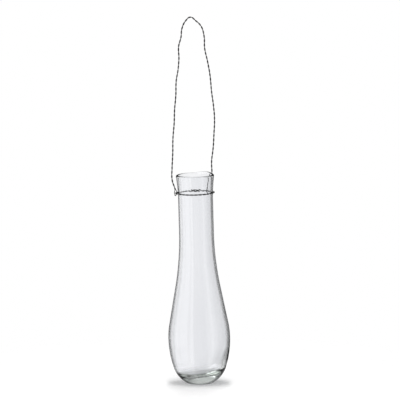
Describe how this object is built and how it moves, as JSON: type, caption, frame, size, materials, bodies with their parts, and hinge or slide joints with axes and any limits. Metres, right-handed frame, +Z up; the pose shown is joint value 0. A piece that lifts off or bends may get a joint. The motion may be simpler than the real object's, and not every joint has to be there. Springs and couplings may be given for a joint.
{
  "type": "propagation vase",
  "caption": "Clear blown-glass drop vase with a long flared neck, a thick floor and a flat foot, hung by a tall loop of twisted dark wire that swings on a wire collar round the neck.",
  "frame": {"origin": "middle of the flat foot, on the surface it stands on", "axes": "+Z up; X along the line through the hanger's two feet, the line that it swings about; +Y to the back, the side that the hanger stands on; the neck leans 1.5 degrees towards -X and a little to +Y"},
  "size_m": [0.0588, 0.0588, 0.35],
  "materials": {
    "clear_glass": "clear, smooth, fire-polished",
    "dark_wire": "dark annealed iron wire, satin"
  },
  "bodies": {
    "vessel": {"glass_vessel": "clear_glass"},
    "collar": {"collar_strand_a": "dark_wire", "collar_strand_b": "dark_wire"},
    "hanger": {"hanger_strand_a": "dark_wire", "hanger_strand_b": "dark_wire"}
  },
  "joints": [
    {"name": "collar_turn", "type": "hinge", "parent": "vessel", "child": "collar", "pos_m": [-0.00382, 0.00166, 0.18274], "axis": [-0.024, 0.0104, 0.9997], "continuous": true},
    {"name": "hanger_swing", "type": "hinge", "parent": "collar", "child": "hanger", "pos_m": [-0.00382, 0.0091, 0.18267], "axis": [0.9997, 0.0001, 0.024], "range_deg": [-45, 45]}
  ]
}
